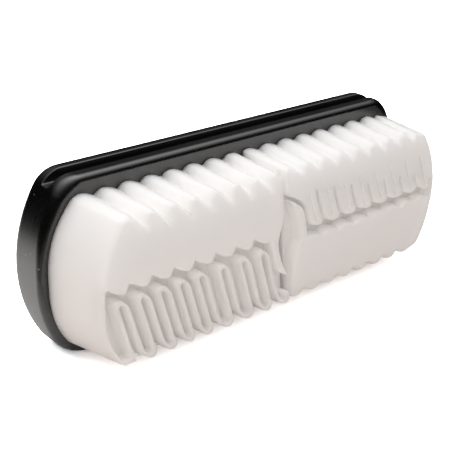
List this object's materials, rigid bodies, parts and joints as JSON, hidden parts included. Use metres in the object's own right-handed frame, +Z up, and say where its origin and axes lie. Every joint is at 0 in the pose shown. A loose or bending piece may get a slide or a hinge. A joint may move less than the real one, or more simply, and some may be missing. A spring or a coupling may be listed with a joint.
{
  "type": "rubber hair removal brush",
  "caption": "Hand brush for lifting pet hair: pleated off-white rubber pads glued on a black plastic handle with a finger groove along each long side.",
  "frame": {"origin": "on the surface that the brush lies on, under the middle of its length and depth", "axes": "+X along the length, +Y from the working face to the flat back, +Z up across the width"},
  "size_m": [0.1302, 0.0302, 0.0478],
  "materials": {
    "black_plastic": "satin black moulding with a soft gloss",
    "white_rubber": "smooth off-white moulded rubber",
    "adhesive": "cured contact adhesive"
  },
  "bodies": {
    "root": {"handle": "black_plastic", "left_glue_film": "adhesive", "right_glue_film": "adhesive", "left_pad": "white_rubber", "right_pad": "white_rubber"}
  },
  "joints": []
}
